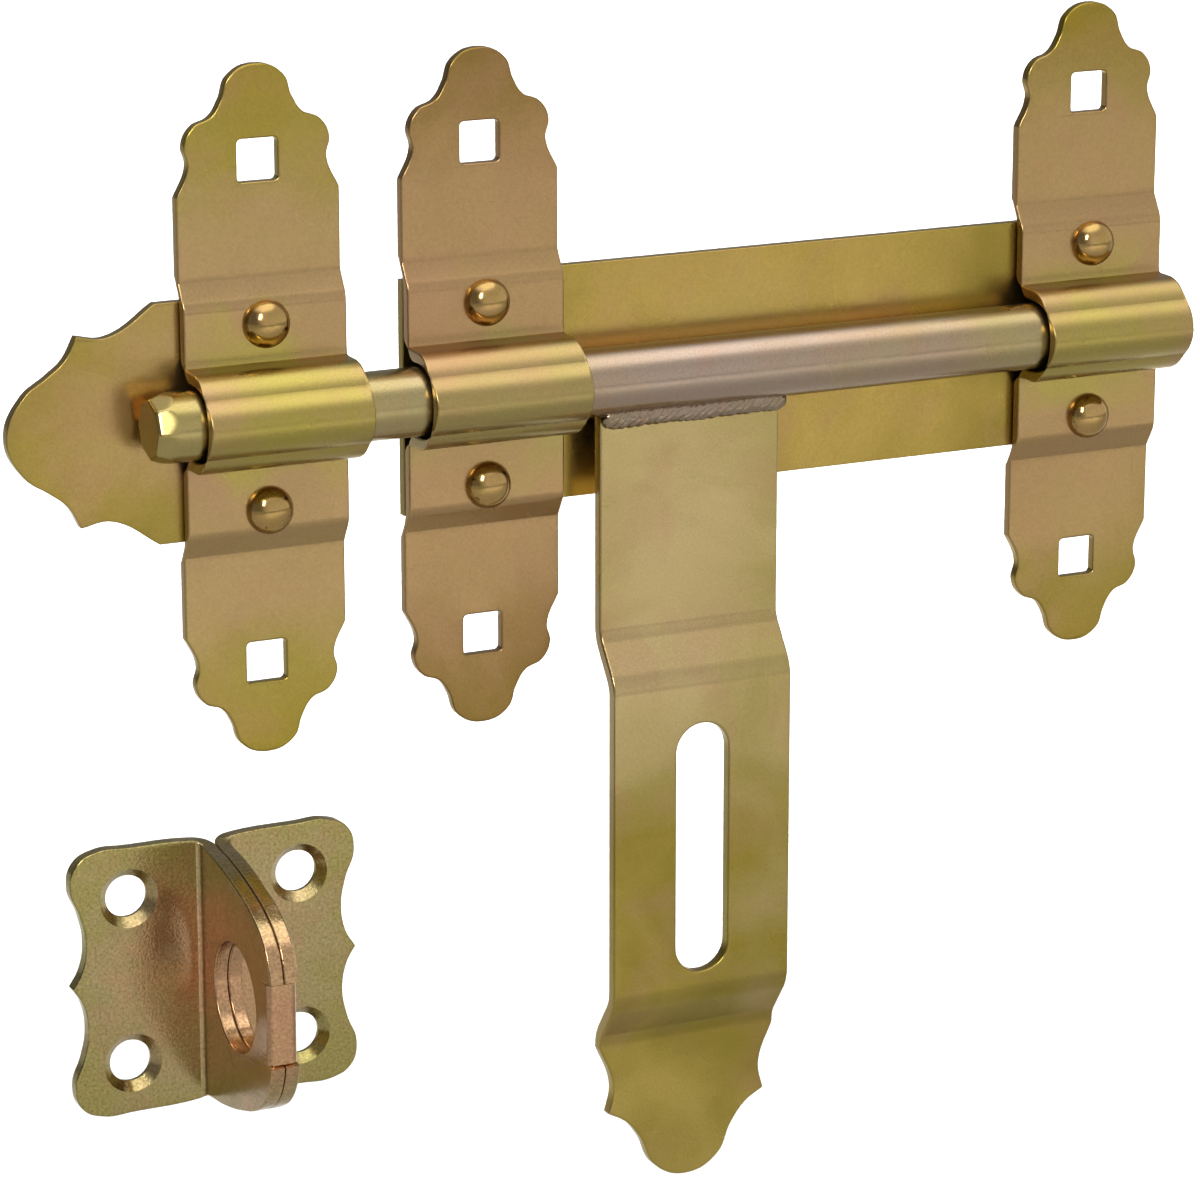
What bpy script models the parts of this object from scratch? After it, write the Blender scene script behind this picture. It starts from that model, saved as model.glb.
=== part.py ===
"""Gate bolt with a slotted padlock hasp, a keeper and a separate padlock staple.

A round bar slides through three bridged straps. Two of them are riveted to the base plate
and the third to the keeper plate, which catches the bar when it is thrown. A slotted hasp
is welded under the bar, and it drops over the fin of a padlock staple.

Frame: +X runs along the bar, away from the keeper, and +Z is up. The mounting face is the
plane y = 0, and everything stands in front of it, at negative y. The origin is the centre of
the base plate's back face. Lengths are in metres and angles in radians.
"""
import math

import bmesh
import bpy

# --- Driving dimensions -----------------------------------------------------------------

GAP = 0.0003                  # left between neighbours that touch on the real bolt

BAR_RADIUS = 0.0070           # round bar
BAR_RISE = 0.0011             # its axis above the middle of the plates and straps
BAR_LEAD = 0.00955            # its tip past the keeper strap, thrown as far as shown
BAR_SHORT = 0.00215           # its plain end inside the rear strap's right edge
BAR_TIP_FACETS = 8            # flats hammered around the tip
BAR_TIP_LENGTH = 0.0042
BAR_TIP_INSET = 0.0023        # how far the flats fall inside the bar at its end

PLATE_SHEET = 0.0025          # base plate and keeper plate
PLATE_LENGTH = 0.1763
PLATE_HEIGHT = 0.0486

STRAP_SHEET = 0.0025          # the three straps, all alike
STRAP_WIDTH = 0.0345
STRAP_HEIGHT = 0.1400
STRAP_END_HEIGHT = 0.0255     # ornamental end, from its tip to the square shoulders
STRAP_RAMP = 0.0032           # length of the joggle that lifts a strap on to its plate
STRAP_RAMP_MARGIN = 0.0006    # from the plate's edge to the top of the joggle
LOOP_CLEARANCE = 0.0005       # between the bar and the bridge over it
LOOP_FILLET = 0.0020          # bend at the foot of the bridge, on its front
SQUARE_HOLE = 0.0085          # for the square neck of an 8 mm coach bolt
SQUARE_HOLE_DROP = 0.0190     # from the strap's tip to the hole's centre
KEEPER_PITCH = 0.0476         # from the keeper strap's centre to the front strap's

KEEPER_NOSE_LENGTH = 0.0311   # ornamental end of the keeper plate
KEEPER_PLATE_LENGTH = 0.0705

RIVET_HEAD_RADIUS = 0.0049
RIVET_HEAD_HEIGHT = 0.0039
RIVET_SHANK_RADIUS = 0.0024
RIVET_TAIL_RADIUS = 0.0037    # tail spread into a countersink in the plate's back
RIVET_TAIL_DEPTH = 0.0013
RIVET_INSET = 0.0054          # from the plate's long edge to the rivet's centre

HASP_SHEET = 0.0030
HASP_WIDTH = 0.0410
HASP_LEAD = 0.0052            # between the front strap and the hasp
HASP_NECK = 0.0538            # from the bar's axis to the first joggle
HASP_STEP = 0.0068            # how far the slotted part stands forward
HASP_JOGGLE = 0.0093          # height over which it steps
HASP_TIP = 0.0341             # from the second joggle to the bottom of the nose
HASP_NOSE_HEIGHT = 0.0315     # ornamental end, from its bottom to the square corners
SLOT_WIDTH = 0.0121
SLOT_LENGTH = 0.0545
SLOT_ABOVE = 0.0097           # from the first joggle to the slot
SLOT_BELOW = 0.0048           # from the slot to the second joggle

WELD_RADIUS = 0.0026          # fillet weld in front, between the bar and the hasp
WELD_DROP = 0.0011            # its centre below the hasp's top edge
WELD_STANDOFF = 0.0005        # its centre in front of the hasp's face
WELD_OVERRUN = 0.0015         # past the hasp's right edge

STAPLE_SHEET = 0.0030
STAPLE_ASIDE = 0.0126         # its centre to the left of the keeper strap's
STAPLE_BELOW = 0.01595        # between the keeper strap and the staple under it
STAPLE_WIDTH = 0.0618
STAPLE_HEIGHT = 0.0565
STAPLE_SLIT = 0.0003          # between the two leaves of the fin
STAPLE_PARTING = 0.0005       # where the leaves part above and below their fold
STAPLE_BEND = 0.0010          # bend at the foot of the fin, on its front
FIN_REACH = 0.0374            # in front of the wings
FIN_FOLD_HEIGHT = 0.0170      # folded edge that joins the two leaves
FIN_FOLD_INSET = 0.0008       # folded edge behind the leaves' shoulders
EYE_DIAMETER = 0.0225
EYE_REACH = 0.0178            # eye's centre in front of the wings
SCREW_HOLE = 0.0088
SCREW_COUNTERSINK = 0.0124
SCREW_PITCH_X = 0.0368
SCREW_PITCH_Z = 0.0352

# --- Sizes that follow ------------------------------------------------------------------

BAR_Y = -(PLATE_SHEET + GAP + BAR_RADIUS)
LOOP_RADIUS = BAR_RADIUS + LOOP_CLEARANCE
RAISED_BACK = PLATE_SHEET + GAP
FRONT_STRAP_X = -(PLATE_LENGTH - STRAP_WIDTH) / 2
REAR_STRAP_X = (PLATE_LENGTH - STRAP_WIDTH) / 2
KEEPER_X = FRONT_STRAP_X - KEEPER_PITCH
BAR_LEFT = KEEPER_X - STRAP_WIDTH / 2 - BAR_LEAD
BAR_RIGHT = REAR_STRAP_X + STRAP_WIDTH / 2 - BAR_SHORT
HASP_CENTRE_X = FRONT_STRAP_X + STRAP_WIDTH / 2 + HASP_LEAD + HASP_WIDTH / 2
STAPLE_CENTRE_X = KEEPER_X - STAPLE_ASIDE
STAPLE_CENTRE_Z = -(STRAP_HEIGHT / 2 + STAPLE_BELOW + STAPLE_HEIGHT / 2)
SQUARE_HOLE_Z = STRAP_HEIGHT / 2 - SQUARE_HOLE_DROP
RIVET_Z = PLATE_HEIGHT / 2 - RIVET_INSET
RIVET_SEAT = RAISED_BACK + STRAP_SHEET + GAP
HASP_TOP = BAR_RADIUS + GAP                             # the hasp's heights are taken
SLOT_TOP = HASP_NECK + HASP_JOGGLE + SLOT_ABOVE         # downwards from the bar's axis
HASP_LOW_JOGGLE = SLOT_TOP + SLOT_LENGTH + SLOT_BELOW
HASP_BOTTOM = HASP_LOW_JOGGLE + HASP_JOGGLE + HASP_TIP
SPARE = 0.002                 # how far a cutter runs past what it cuts

# --- Ornamental outlines ----------------------------------------------------------------
# Each knot is (share of the half width, share of the end's height, is it a sharp corner),
# from the middle of the tip to the square shoulder.

STRAP_END = [(0.00, 1.00, False), (0.33, 0.91, False), (0.44, 0.73, False),
             (0.56, 0.61, False), (0.78, 0.54, False), (0.89, 0.40, False),
             (0.85, 0.24, False), (1.00, 0.00, True)]
KEEPER_END = [(0.00, 1.00, False), (0.33, 0.885, False), (0.48, 0.724, False),
              (0.60, 0.608, False), (0.79, 0.524, True), (0.76, 0.325, False),
              (1.00, 0.00, True)]
HASP_END = [(0.00, 1.00, False), (0.36, 0.902, False), (0.53, 0.685, False),
            (0.69, 0.555, False), (0.898, 0.473, True), (0.844, 0.286, False),
            (1.00, 0.00, True)]
STAPLE_SIDE = [(0.995, 0.00, True), (0.93, 0.12, False), (0.897, 0.33, False),
               (0.93, 0.53, False), (0.995, 0.74, False), (0.95, 0.92, False),
               (0.80, 1.00, False), (0.60, 1.00, True)]
FIN_EDGE = [(0.00, 0.950, True), (0.27, 0.912, False), (0.54, 0.828, False),
            (0.76, 0.722, False), (0.90, 0.590, False), (0.975, 0.430, False),
            (1.00, 0.310, True)]


# --- Scene and small helpers ------------------------------------------------------------

for leftover in list(bpy.data.objects):
    bpy.data.objects.remove(leftover)

PARTS = bpy.data.collections.new("barrel_bolt")
CUTTERS = bpy.data.collections.new("cutters")
bpy.context.scene.collection.children.link(PARTS)
bpy.context.scene.collection.children.link(CUTTERS)

FACE_THE_FRONT = (math.pi / 2, 0, 0)            # a flat drawing stands up in x and z
FACE_THE_SIDE = (math.pi / 2, 0, -math.pi / 2)  # its x runs forward, its y runs up
LIE_ALONG_X = (0, math.pi / 2, 0)


def metal(name, colour, roughness):
    """Plated steel with its own colour."""
    material = bpy.data.materials.new(name)
    material.use_nodes = True
    shader = material.node_tree.nodes["Principled BSDF"]
    shader.inputs["Base Color"].default_value = (*colour, 1.0)
    shader.inputs["Metallic"].default_value = 1.0
    shader.inputs["Roughness"].default_value = roughness
    return material


def add_object(name, mesh, collection):
    """A new object that holds the mesh."""
    thing = bpy.data.objects.new(name, mesh)
    collection.objects.link(thing)
    if collection == CUTTERS:
        thing.hide_render = True
        thing.display_type = "WIRE"
    return thing


def finish_part(thing, colour, roughness):
    """Give a part its material and smooth shading between sharp edges."""
    thing.data.materials.clear()
    thing.data.materials.append(metal(thing.name + "_plating", colour, roughness))
    thing.data.shade_smooth()
    thing.data.set_sharp_from_angle(angle=math.radians(35))
    return thing


def cut(thing, cutter, operation="DIFFERENCE"):
    """Take the cutter from the part, or keep only what lies inside it."""
    step = thing.modifiers.new(operation.lower(), "BOOLEAN")
    step.operation = operation
    step.solver = "EXACT"
    step.object = cutter


def arc(centre, radius, start, end, count):
    """Points along an arc, its two ends included."""
    angles = [start + (end - start) * step / count for step in range(count + 1)]
    return [(centre[0] + radius * math.cos(a), centre[1] + radius * math.sin(a)) for a in angles]


def end_knots(shape, half_width, inner, height):
    """Place an ornamental outline: (across, along, sharp) from its tip to its shoulder."""
    return [(across * half_width, inner + along * height, sharp) for across, along, sharp in shape]


def mirror_across(knots):
    """The same knots on the other side of the middle line, in reverse order."""
    return [(-across, along, sharp) for across, along, sharp in reversed(knots) if across]


def outline_solid(name, knots, thickness, collection, rotation, location):
    """A flat closed outline through the knots, smooth between its sharp corners."""
    drawing = bpy.data.curves.new(name, "CURVE")
    drawing.dimensions = "2D"
    drawing.fill_mode = "BOTH"
    drawing.extrude = thickness / 2
    drawing.resolution_u = 4
    spline = drawing.splines.new("BEZIER")
    spline.use_cyclic_u = True
    spline.bezier_points.add(len(knots) - 1)
    for point, (across, along, sharp) in zip(spline.bezier_points, knots):
        point.co = (across, along, 0)
        kind = "VECTOR" if sharp else "AUTO"
        point.handle_left_type = kind
        point.handle_right_type = kind
    curve = bpy.data.objects.new(name + "_drawing", drawing)
    bpy.context.scene.collection.objects.link(curve)
    curve.rotation_euler = rotation
    curve.location = location
    bpy.context.view_layer.update()
    evaluated = curve.evaluated_get(bpy.context.evaluated_depsgraph_get())
    mesh = bpy.data.meshes.new_from_object(evaluated)
    weld_caps(mesh)
    thing = add_object(name, mesh, collection)
    thing.matrix_world = curve.matrix_world
    bpy.data.objects.remove(curve)
    return thing


def weld_caps(mesh):
    """Join a filled curve's caps to its sides."""
    shape = bmesh.new()
    shape.from_mesh(mesh)
    bmesh.ops.remove_doubles(shape, verts=shape.verts, dist=0.000001)
    bmesh.ops.recalc_face_normals(shape, faces=shape.faces)
    shape.to_mesh(mesh)
    shape.free()


def folded_sheet(name, line, sweep, thickness, location=(0, 0, 0)):
    """Sheet metal bent along a line of points and as wide as the sweep."""
    shape = bmesh.new()
    corners = [shape.verts.new(point) for point in line]
    edges = [shape.edges.new(pair) for pair in zip(corners, corners[1:])]
    made = bmesh.ops.extrude_edge_only(shape, edges=edges)
    moved = [item for item in made["geom"] if isinstance(item, bmesh.types.BMVert)]
    bmesh.ops.translate(shape, verts=moved, vec=sweep)
    mesh = bpy.data.meshes.new(name)
    shape.to_mesh(mesh)
    shape.free()
    thing = add_object(name, mesh, PARTS)
    thing.location = location
    solid = thing.modifiers.new("sheet", "SOLIDIFY")
    solid.thickness = thickness
    solid.offset = 0
    solid.use_even_offset = True
    return thing


def box(name, size, location, collection=CUTTERS):
    """A plain block."""
    shape = bmesh.new()
    bmesh.ops.create_cube(shape, size=1)
    bmesh.ops.scale(shape, verts=shape.verts, vec=size)
    mesh = bpy.data.meshes.new(name)
    shape.to_mesh(mesh)
    shape.free()
    thing = add_object(name, mesh, collection)
    thing.location = location
    return thing


def cone(name, radii, length, location, rotation, sides=24, collection=CUTTERS):
    """A cylinder or a cone along its own z, from radii[0] below to radii[1] above."""
    shape = bmesh.new()
    bmesh.ops.create_cone(shape, cap_ends=True, segments=sides,
                          radius1=radii[0], radius2=radii[1], depth=length)
    mesh = bpy.data.meshes.new(name)
    shape.to_mesh(mesh)
    shape.free()
    thing = add_object(name, mesh, collection)
    thing.location = location
    thing.rotation_euler = rotation
    return thing


def turned(name, profile, location, rotation, sides=20):
    """A turned solid: (radius, height) points from the top of its axis to the bottom."""
    shape = bmesh.new()
    corners = [shape.verts.new((radius, 0, height)) for radius, height in profile]
    for pair in zip(corners, corners[1:]):
        shape.edges.new(pair)
    mesh = bpy.data.meshes.new(name)
    shape.to_mesh(mesh)
    shape.free()
    thing = add_object(name, mesh, PARTS)
    thing.location = location
    thing.rotation_euler = rotation
    screw = thing.modifiers.new("turn", "SCREW")
    screw.steps = sides
    screw.render_steps = sides
    screw.use_merge_vertices = True
    screw.merge_threshold = 0.00001
    return thing


# --- Straps -----------------------------------------------------------------------------

def strap_line():
    """Middle of a strap's sheet, as (y, z) points from its top end to its bottom end."""
    half_sheet = STRAP_SHEET / 2
    flat = -half_sheet
    raised = -(RAISED_BACK + half_sheet)
    ramp_top = PLATE_HEIGHT / 2 + STRAP_RAMP_MARGIN
    bridge = LOOP_RADIUS + half_sheet
    fillet = LOOP_FILLET + half_sheet
    foot = arc((raised - fillet, bridge + fillet), fillet, 0, -math.pi / 2, 4)
    over = foot + arc((BAR_Y, 0), bridge, math.pi / 2, math.pi, 7)
    end = [(flat, STRAP_HEIGHT / 2 + SPARE), (flat, ramp_top + STRAP_RAMP), (raised, ramp_top)]
    upper = end + [(y, BAR_RISE + z) for y, z in over]
    lower = [(y, BAR_RISE - z) for y, z in reversed(over[:-1])]
    return upper + lower + [(y, -z) for y, z in reversed(end)]


def strap(name, centre_x, colour):
    """One bridged strap, with its outline, its two square holes and its rivet holes."""
    half = STRAP_WIDTH / 2
    line = [(-half - SPARE, y, z) for y, z in strap_line()]
    part = folded_sheet(name, line, (STRAP_WIDTH + 2 * SPARE, 0, 0), STRAP_SHEET,
                        (centre_x, 0, 0))
    top = end_knots(STRAP_END, half, STRAP_HEIGHT / 2 - STRAP_END_HEIGHT, STRAP_END_HEIGHT)
    right = top + [(across, -along, sharp) for across, along, sharp in reversed(top)]
    outline = right + mirror_across(right)
    cutter = outline_solid(name + "_outline", outline, 0.080, CUTTERS, FACE_THE_FRONT,
                           (centre_x, BAR_Y, 0))
    cut(part, cutter, "INTERSECT")
    for side, z in (("upper", SQUARE_HOLE_Z), ("lower", -SQUARE_HOLE_Z)):
        punch = box(f"{name}_{side}_square", (SQUARE_HOLE, 0.020, SQUARE_HOLE), (centre_x, 0, z))
        cut(part, punch)
    for side, z in (("upper", RIVET_Z), ("lower", -RIVET_Z)):
        drill = cone(f"{name}_{side}_drill", (RIVET_SHANK_RADIUS + GAP,) * 2, 0.030,
                     (centre_x, 0, z), FACE_THE_FRONT)
        cut(part, drill)
    return finish_part(part, colour, 0.34)


# --- Plates -----------------------------------------------------------------------------

def rivet_seats(plate, name, centre_x):
    """Drill a plate for its strap's two rivets and countersink the back for their tails."""
    for side, z in (("upper", RIVET_Z), ("lower", -RIVET_Z)):
        drill = cone(f"{name}_{side}_hole", (RIVET_SHANK_RADIUS + GAP,) * 2, 0.030,
                     (centre_x, 0, z), FACE_THE_FRONT)
        cut(plate, drill)
        slope = (RIVET_TAIL_RADIUS - RIVET_SHANK_RADIUS) / RIVET_TAIL_DEPTH
        wide = RIVET_TAIL_RADIUS + GAP + (GAP + SPARE) * slope
        depth = RIVET_TAIL_DEPTH + GAP + SPARE
        sink = cone(f"{name}_{side}_sink", (wide, RIVET_SHANK_RADIUS + GAP), depth,
                    (centre_x, SPARE - depth / 2, z), FACE_THE_FRONT)
        cut(plate, sink)


def base_plate():
    """Plain rectangular plate that carries the front and rear straps."""
    plate = box("base_plate", (PLATE_LENGTH, PLATE_SHEET, PLATE_HEIGHT),
                (0, -PLATE_SHEET / 2, 0), PARTS)
    rivet_seats(plate, "base_front", FRONT_STRAP_X)
    rivet_seats(plate, "base_rear", REAR_STRAP_X)
    return finish_part(plate, (0.42, 0.33, 0.17), 0.36)


def keeper_plate():
    """Plate with an ornamental nose, flush with the keeper strap's right edge."""
    right_x = KEEPER_X + STRAP_WIDTH / 2
    nose = end_knots(KEEPER_END, PLATE_HEIGHT / 2, KEEPER_PLATE_LENGTH - KEEPER_NOSE_LENGTH,
                     KEEPER_NOSE_LENGTH)
    upper = [(-along, across, sharp) for across, along, sharp in nose]
    lower = [(along, -across, sharp) for along, across, sharp in reversed(upper) if across]
    corners = [(0, PLATE_HEIGHT / 2, True), (0, -PLATE_HEIGHT / 2, True)]
    plate = outline_solid("keeper_plate", upper + corners + lower, PLATE_SHEET, PARTS,
                          FACE_THE_FRONT, (right_x, -PLATE_SHEET / 2, 0))
    rivet_seats(plate, "keeper", KEEPER_X)
    return finish_part(plate, (0.42, 0.34, 0.16), 0.36)


# --- Rivets -----------------------------------------------------------------------------

def rivet(name, centre_x, z):
    """Dome-headed rivet through a strap and its plate, its tail spread flush at the back."""
    shank = RIVET_SEAT
    tail = GAP
    head = [(RIVET_HEAD_RADIUS * math.sin(a), shank + RIVET_HEAD_HEIGHT * math.cos(a))
            for a in (math.radians(18) * step for step in range(6))]
    stem = [(RIVET_SHANK_RADIUS, shank), (RIVET_SHANK_RADIUS, RIVET_TAIL_DEPTH + tail),
            (RIVET_TAIL_RADIUS, tail), (0, tail)]
    part = turned(name, head + stem, (centre_x, 0, z), FACE_THE_FRONT)
    return finish_part(part, (0.62, 0.50, 0.22), 0.18)


# --- Bar --------------------------------------------------------------------------------

def bolt_bar():
    """Round bar with a faceted tip at the keeper's end."""
    length = BAR_RIGHT - BAR_LEFT
    profile = [(0, length), (BAR_RADIUS, length), (BAR_RADIUS, 0), (0, 0)]
    bar = turned("bolt_bar", profile, (BAR_LEFT, BAR_Y, BAR_RISE), LIE_ALONG_X, 40)
    slope = BAR_TIP_INSET / BAR_TIP_LENGTH
    across_flats = 1 / math.cos(math.pi / BAR_TIP_FACETS)
    small = (BAR_RADIUS - BAR_TIP_INSET - SPARE * slope) * across_flats
    big = (BAR_RADIUS - BAR_TIP_INSET + (length + SPARE) * slope) * across_flats
    facets = cone("bar_tip_facets", (small, big), length + 2 * SPARE,
                  ((BAR_LEFT + BAR_RIGHT) / 2, BAR_Y, BAR_RISE), LIE_ALONG_X, BAR_TIP_FACETS)
    cut(bar, facets, "INTERSECT")
    return finish_part(bar, (0.40, 0.32, 0.26), 0.30)


# --- Hasp -------------------------------------------------------------------------------

def hasp_plate():
    """Joggled plate with a long slot and an ornamental nose, welded under the bar."""
    near = 0.0
    forward = -HASP_STEP
    levels = [(near, -HASP_TOP), (near, -HASP_NECK), (forward, -HASP_NECK - HASP_JOGGLE),
              (forward, -HASP_LOW_JOGGLE), (near, -HASP_LOW_JOGGLE - HASP_JOGGLE),
              (near, -HASP_BOTTOM - SPARE)]
    half = HASP_WIDTH / 2
    line = [(-half - SPARE, y, z) for y, z in levels]
    plate = folded_sheet("hasp_plate", line, (HASP_WIDTH + 2 * SPARE, 0, 0), HASP_SHEET,
                         (HASP_CENTRE_X, BAR_Y, BAR_RISE))
    nose = end_knots(HASP_END, half, HASP_NOSE_HEIGHT - HASP_BOTTOM, -HASP_NOSE_HEIGHT)
    top = SPARE - HASP_TOP
    right = nose + [(half, top, True)]
    outline = outline_solid("hasp_outline", right + mirror_across(right), 0.060, CUTTERS,
                            FACE_THE_FRONT, (HASP_CENTRE_X, BAR_Y, BAR_RISE))
    cut(plate, outline, "INTERSECT")
    slot_top_z = BAR_RISE - SLOT_TOP
    for name, z in (("slot_top", slot_top_z - SLOT_WIDTH / 2),
                    ("slot_bottom", slot_top_z - SLOT_LENGTH + SLOT_WIDTH / 2)):
        end = cone(name, (SLOT_WIDTH / 2,) * 2, 0.030, (HASP_CENTRE_X, BAR_Y - HASP_STEP, z),
                   FACE_THE_FRONT)
        cut(plate, end)
    middle = box("slot_middle", (SLOT_WIDTH, 0.030, SLOT_LENGTH - SLOT_WIDTH),
                 (HASP_CENTRE_X, BAR_Y - HASP_STEP, slot_top_z - SLOT_LENGTH / 2))
    cut(plate, middle)
    return finish_part(plate, (0.40, 0.33, 0.14), 0.36)


def weld_bead():
    """Fillet weld in the corner between the bar and the front of the hasp."""
    length = HASP_WIDTH + WELD_OVERRUN
    face = BAR_Y - HASP_SHEET / 2
    middle_x = HASP_CENTRE_X + WELD_OVERRUN / 2
    hasp_top_z = BAR_RISE - HASP_TOP
    location = (middle_x, face - WELD_STANDOFF, hasp_top_z - WELD_DROP)
    bead = cone("weld_bead", (WELD_RADIUS,) * 2, length, location, LIE_ALONG_X, 24, PARTS)
    bar_room = cone("weld_bar_room", (BAR_RADIUS + GAP,) * 2, length + 2 * SPARE,
                    (middle_x, BAR_Y, BAR_RISE), LIE_ALONG_X, 48)
    hasp_room = box("weld_hasp_room", (length + 2 * SPARE, 0.020, 0.040),
                    (middle_x, face - GAP + 0.010, hasp_top_z))
    cut(bead, bar_room)
    cut(bead, hasp_room)
    return finish_part(bead, (0.33, 0.29, 0.24), 0.30)


# --- Padlock staple ---------------------------------------------------------------------

def staple_line():
    """Middle of the staple's sheet, as (x, forward) points from its left to its right."""
    half_sheet = STAPLE_SHEET / 2
    leaf = STAPLE_SLIT / 2 + half_sheet
    bend = STAPLE_BEND + half_sheet
    front = STAPLE_SHEET + FIN_REACH
    left = [(-STAPLE_WIDTH / 2 - SPARE, half_sheet)]
    left += arc((-leaf - bend, half_sheet + bend), bend, -math.pi / 2, 0, 5)
    left += arc((0, front - half_sheet - leaf), leaf, math.pi, math.pi / 2, 4)
    right = [(-x, forward) for x, forward in reversed(left[:-1])]
    return left + right


def padlock_staple():
    """One folded sheet: two screwed wings and a doubled fin with the padlock's eye."""
    low = STAPLE_CENTRE_Z - STAPLE_HEIGHT / 2 - SPARE
    line = [(x, -forward, low - STAPLE_CENTRE_Z) for x, forward in staple_line()]
    staple = folded_sheet("padlock_staple", line, (0, 0, STAPLE_HEIGHT + 2 * SPARE),
                          STAPLE_SHEET, (STAPLE_CENTRE_X, 0, STAPLE_CENTRE_Z))
    cut(staple, wing_outline(), "INTERSECT")
    cut(staple, fin_outline(), "INTERSECT")
    for cutter in fold_cutters() + screw_holes():
        cut(staple, cutter)
    eye = cone("padlock_eye", (EYE_DIAMETER / 2,) * 2, 0.030,
               (STAPLE_CENTRE_X, -(STAPLE_SHEET + EYE_REACH), STAPLE_CENTRE_Z), LIE_ALONG_X, 28)
    cut(staple, eye)
    return finish_part(staple, (0.40, 0.27, 0.15), 0.28)


def wing_outline():
    """Scalloped outline of the two wings, seen from the front."""
    upper_right = end_knots(STAPLE_SIDE, STAPLE_WIDTH / 2, 0, STAPLE_HEIGHT / 2)
    lower_right = [(x, -z, sharp) for x, z, sharp in reversed(upper_right) if z]
    right = lower_right + upper_right
    return outline_solid("staple_wings", right + mirror_across(right), 0.120, CUTTERS,
                         FACE_THE_FRONT, (STAPLE_CENTRE_X, -STAPLE_SHEET, STAPLE_CENTRE_Z))


def fin_outline():
    """Bow-shaped outline of the fin, seen from the side, wide open behind its foot."""
    foot = STAPLE_SHEET
    step = STAPLE_SHEET + GAP
    upper = [(foot + reach * FIN_REACH, share * STAPLE_HEIGHT / 2, sharp)
             for reach, share, sharp in FIN_EDGE]
    wide = STAPLE_HEIGHT / 2 + 2 * SPARE
    upper[0] = (step, upper[0][1], True)
    lower = [(forward, -z, sharp) for forward, z, sharp in reversed(upper)]
    front = [(step, wide, True)] + upper + lower + [(step, -wide, True)]
    back = [(-2 * SPARE, -wide, True), (-2 * SPARE, wide, True)]
    return outline_solid("staple_fin", front + back, 0.100, CUTTERS, FACE_THE_SIDE,
                         (STAPLE_CENTRE_X, 0, STAPLE_CENTRE_Z))


def fold_cutters():
    """Trim the folded edge and part the two leaves above and below it."""
    front = STAPLE_SHEET + FIN_REACH
    depth = FIN_FOLD_INSET + SPARE
    trim = box("fold_trim", (0.020, depth, FIN_FOLD_HEIGHT),
               (STAPLE_CENTRE_X, -(front - FIN_FOLD_INSET + depth / 2), STAPLE_CENTRE_Z))
    cutters = [trim]
    height = STAPLE_HEIGHT / 2
    for side, up in (("upper", 1), ("lower", -1)):
        middle = up * (FIN_FOLD_HEIGHT + height) / 2
        slit = box(f"leaf_slit_{side}", (STAPLE_PARTING, 0.012, height),
                   (STAPLE_CENTRE_X, -front, STAPLE_CENTRE_Z + middle))
        cutters.append(slit)
    return cutters


def screw_holes():
    """Four countersunk screw holes in the wings."""
    cutters = []
    sink_depth = (SCREW_COUNTERSINK - SCREW_HOLE) / 2
    for column in (-1, 1):
        for row in (-1, 1):
            x = STAPLE_CENTRE_X + column * SCREW_PITCH_X / 2
            z = STAPLE_CENTRE_Z + row * SCREW_PITCH_Z / 2
            hole = cone(f"screw_hole_{column}_{row}", (SCREW_HOLE / 2,) * 2, 0.020,
                        (x, -STAPLE_SHEET / 2, z), FACE_THE_FRONT)
            wide = SCREW_COUNTERSINK / 2 + SPARE / 2
            depth = sink_depth + SPARE / 2
            sink = cone(f"screw_sink_{column}_{row}", (SCREW_HOLE / 2, wide), depth,
                        (x, -(STAPLE_SHEET - sink_depth + depth / 2), z), FACE_THE_FRONT)
            cutters += [hole, sink]
    return cutters


# --- Assembly ---------------------------------------------------------------------------

def axis_marker(name, location):
    """An empty on a joint's axis."""
    marker = bpy.data.objects.new(name, None)
    PARTS.objects.link(marker)
    marker.location = location
    return marker


def hang_on(parent, parts):
    """Parent the parts and keep them where they are."""
    bpy.context.view_layer.update()
    for part in parts:
        part.parent = parent
        part.matrix_parent_inverse = parent.matrix_world.inverted()


def build():
    """All the parts, with the bar and the hasp parented as they move."""
    base_plate()
    keeper_plate()
    for name, centre_x in (("keeper", KEEPER_X), ("front", FRONT_STRAP_X), ("rear", REAR_STRAP_X)):
        strap(name + "_strap", centre_x, (0.44, 0.36, 0.16))
        rivet(name + "_rivet_upper", centre_x, RIVET_Z)
        rivet(name + "_rivet_lower", centre_x, -RIVET_Z)
    padlock_staple()
    slide = axis_marker("bolt_slide_axis", (HASP_CENTRE_X, BAR_Y, BAR_RISE))
    swing = axis_marker("hasp_swing_axis", (HASP_CENTRE_X, BAR_Y, BAR_RISE))
    hang_on(slide, [bolt_bar(), swing])
    hang_on(swing, [hasp_plate(), weld_bead()])


build()
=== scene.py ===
"""Gate bolt with a padlock hasp, its keeper and its padlock staple, all in yellow-plated steel.

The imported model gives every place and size. Each piece here is the finished form of one of its
nodes: sheet blanks with rounded edges, bent as a press bends them, turned rivets, a hammered bar
and a rippled weld. Lengths are in metres.
"""
import math

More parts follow.
